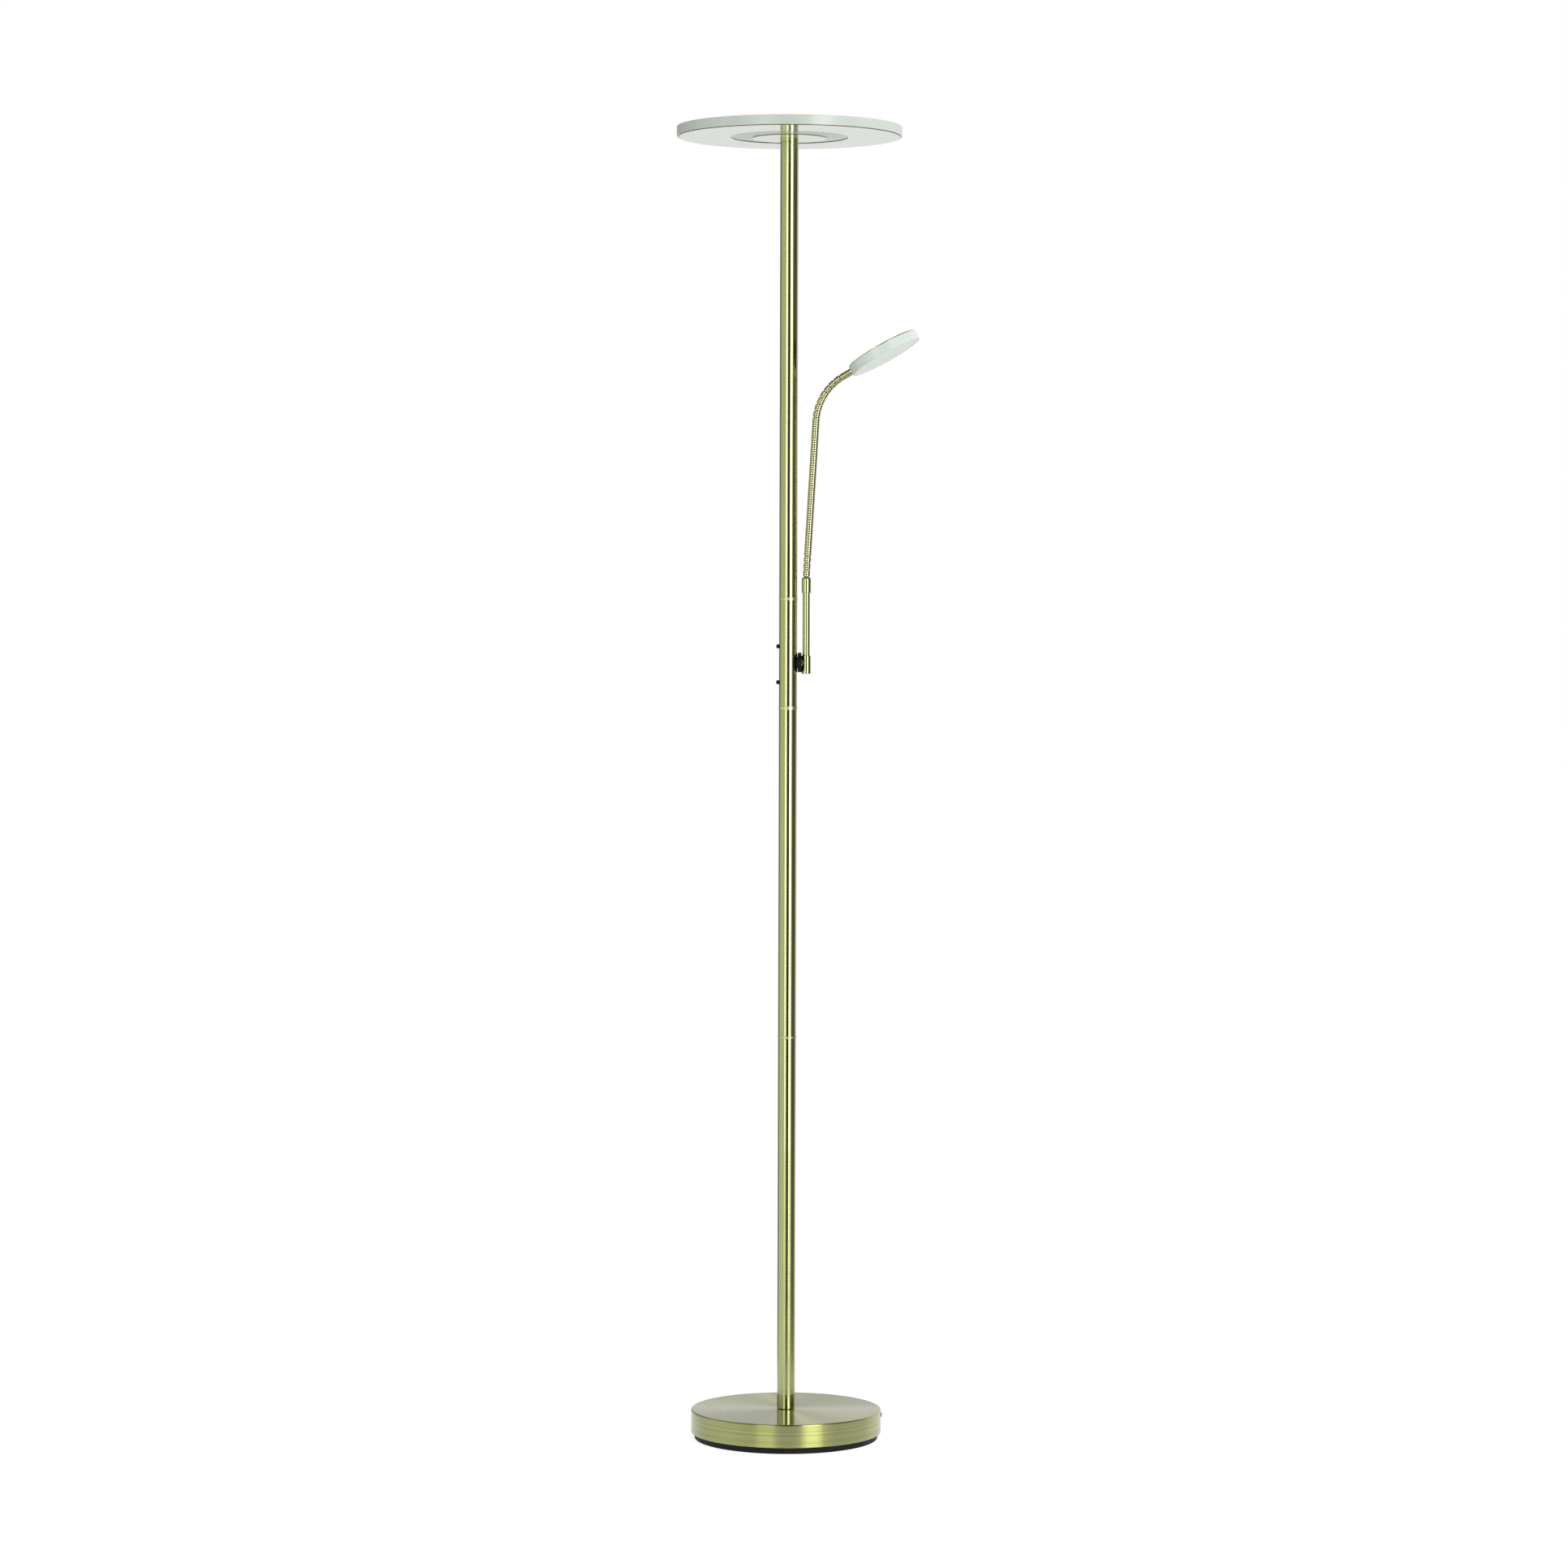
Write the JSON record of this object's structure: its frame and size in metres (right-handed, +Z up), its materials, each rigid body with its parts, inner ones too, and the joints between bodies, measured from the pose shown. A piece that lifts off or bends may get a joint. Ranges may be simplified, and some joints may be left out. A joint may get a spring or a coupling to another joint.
{
  "type": "torchiere floor lamp with reading light",
  "caption": "Floor lamp: a round weighted base, a slim jointed pole with a flat disc head that lights upwards, and a small disc reading light on a flexible neck from a tilting side arm.",
  "frame": {"origin": "the middle of the foot's underside, on the pole's axis, on the floor", "axes": "+Z up along the pole; +X to the reading light's side, the right in the picture; -Y towards the viewer"},
  "size_m": [0.3323, 0.308, 1.8],
  "materials": {
    "brass_finish": "steel with a brushed old-brass finish",
    "bright_ring": "polished light brass",
    "neck_finish": "wound steel with an old-brass finish",
    "foot_black": "matt black moulding",
    "black_plastic": "matt black moulding",
    "button_black": "black, slightly glossy",
    "iron": "as cast, painted grey",
    "head_silver": "satin light metal",
    "back_brass": "old-brass coloured plate",
    "opal": "opal white, lit from inside",
    "board": "white circuit board",
    "housing": "dark grey moulding",
    "bare_aluminium": "bare rolled sheet",
    "zinc_steel": "zinc plated",
    "cable_black": "black sheath"
  },
  "bodies": {
    "stand": {"foot_pad": "foot_black", "base_weight": "iron", "base_cover": "brass_finish", "cord_bush": "black_plastic", "driver_box": "housing", "pole_nipple": "zinc_steel", "nipple_washer": "zinc_steel", "nipple_nut": "zinc_steel", "pole_lower": "brass_finish", "pole_middle": "brass_finish", "control_tube": "brass_finish", "pole_upper": "brass_finish", "coupler_lower": "bright_ring", "coupler_middle": "bright_ring", "coupler_upper": "bright_ring", "pole_foot_plug": "zinc_steel", "pole_head_plug": "zinc_steel", "pole_cable": "cable_black", "dimmer_board": "board", "switch_upper": "housing", "switch_lower": "housing", "pivot_saddle": "black_plastic", "friction_pad": "black_plastic", "head_rim": "head_silver", "head_pan": "head_silver", "head_hub": "bare_aluminium", "head_heat_plate": "bare_aluminium", "head_led_board": "board", "head_lens": "opal", "head_nut": "zinc_steel", "head_nipple": "zinc_steel"},
    "button_upper": {"button_upper": "button_black"},
    "button_lower": {"button_lower": "button_black"},
    "arm": {"pivot_rotor": "black_plastic", "pivot_stud": "zinc_steel", "spring_washer": "zinc_steel", "jam_nut": "zinc_steel", "arm_socket": "brass_finish", "grub_screw": "zinc_steel", "arm_tube": "brass_finish", "neck_ferrule": "brass_finish"},
    "neck_root_1": {"neck_root_link_1": "neck_finish"},
    "neck_root_2": {"neck_root_link_2": "neck_finish"},
    "neck_root_3": {"neck_root_link_3": "neck_finish"},
    "neck_stem": {"neck_stem": "neck_finish"},
    "neck_bend_1": {"neck_bend_link_1": "neck_finish"},
    "neck_bend_2": {"neck_bend_link_2": "neck_finish"},
    "neck_bend_3": {"neck_bend_link_3": "neck_finish"},
    "neck_bend_4": {"neck_bend_link_4": "neck_finish"},
    "neck_bend_5": {"neck_bend_link_5": "neck_finish"},
    "neck_bend_6": {"neck_bend_link_6": "neck_finish"},
    "neck_bend_7": {"neck_bend_link_7": "neck_finish"},
    "reading_head": {"neck_tip": "neck_finish", "reading_shell": "head_silver", "reading_back": "back_brass", "reading_lens": "opal", "reading_board": "board", "reading_ring_nut": "zinc_steel"}
  },
  "joints": [
    {"name": "arm_tilt", "type": "hinge", "parent": "stand", "child": "arm", "pos_m": [0.0165, 0, 1.0685], "axis": [1, 0, 0], "range_deg": [-90, 90]},
    {"name": "neck_lean", "type": "hinge", "parent": "arm", "child": "neck_root_1", "pos_m": [0.0248, 0, 1.1864], "axis": [0.1564, 0.9877, 0], "range_deg": [-1, 9.5]},
    {"name": "neck_sway", "type": "hinge", "parent": "neck_root_1", "child": "neck_root_2", "pos_m": [0.02535, -0.00009, 1.19574], "axis": [0.9859, -0.1562, -0.0593], "range_deg": [-12, 12]},
    {"name": "neck_lean_2", "type": "hinge", "parent": "neck_root_2", "child": "neck_root_3", "pos_m": [0.0259, -0.00017, 1.20508], "axis": [0.1564, 0.9877, 0], "range_deg": [-1, 9.5]},
    {"name": "neck_sway_2", "type": "hinge", "parent": "neck_root_3", "child": "neck_stem", "pos_m": [0.02644, -0.00026, 1.21442], "axis": [0.9859, -0.1562, -0.0593], "range_deg": [-12, 12]},
    {"name": "neck_bend_1", "type": "hinge", "parent": "neck_stem", "child": "neck_bend_1", "pos_m": [0.03757, -0.00202, 1.40409], "axis": [0.1564, 0.9877, 0], "range_deg": [-7.1, 6]},
    {"name": "neck_bend_2", "type": "hinge", "parent": "neck_bend_1", "child": "neck_bend_2", "pos_m": [0.03926, -0.00229, 1.41329], "axis": [0.1564, 0.9877, 0], "range_deg": [-7.1, 6]},
    {"name": "neck_bend_3", "type": "hinge", "parent": "neck_bend_2", "child": "neck_bend_3", "pos_m": [0.04207, -0.00274, 1.4222], "axis": [0.1564, 0.9877, 0], "range_deg": [-7.1, 6]},
    {"name": "neck_bend_4", "type": "hinge", "parent": "neck_bend_3", "child": "neck_bend_4", "pos_m": [0.04595, -0.00335, 1.4307], "axis": [0.1564, 0.9877, 0], "range_deg": [-7.1, 6]},
    {"name": "neck_bend_5", "type": "hinge", "parent": "neck_bend_4", "child": "neck_bend_5", "pos_m": [0.05084, -0.00412, 1.43863], "axis": [0.1564, 0.9877, 0], "range_deg": [-7.1, 6]},
    {"name": "neck_bend_6", "type": "hinge", "parent": "neck_bend_5", "child": "neck_bend_6", "pos_m": [0.05666, -0.00505, 1.44589], "axis": [0.1564, 0.9877, 0], "range_deg": [-7.1, 6]},
    {"name": "neck_bend_7", "type": "hinge", "parent": "neck_bend_6", "child": "neck_bend_7", "pos_m": [0.06333, -0.0061, 1.45237], "axis": [0.1564, 0.9877, 0], "range_deg": [-7.1, 6]},
    {"name": "neck_bend_8", "type": "hinge", "parent": "neck_bend_7", "child": "reading_head", "pos_m": [0.07075, -0.00728, 1.45795], "axis": [0.1564, 0.9877, 0], "range_deg": [-7.1, 6]},
    {"name": "press_upper_button", "type": "slide", "parent": "stand", "child": "button_upper", "axis": [1, 0, 0], "range_m": [0, 0.0008], "stiffness_N_per_m": 400, "springref_m": -0.0008},
    {"name": "press_lower_button", "type": "slide", "parent": "stand", "child": "button_lower", "axis": [1, 0, 0], "range_m": [0, 0.0008], "stiffness_N_per_m": 400, "springref_m": -0.0008}
  ],
  "couplings": [
    {"joint": "neck_lean_2", "follows": "neck_lean", "ratio": 1},
    {"joint": "neck_sway_2", "follows": "neck_sway", "ratio": 1}
  ]
}
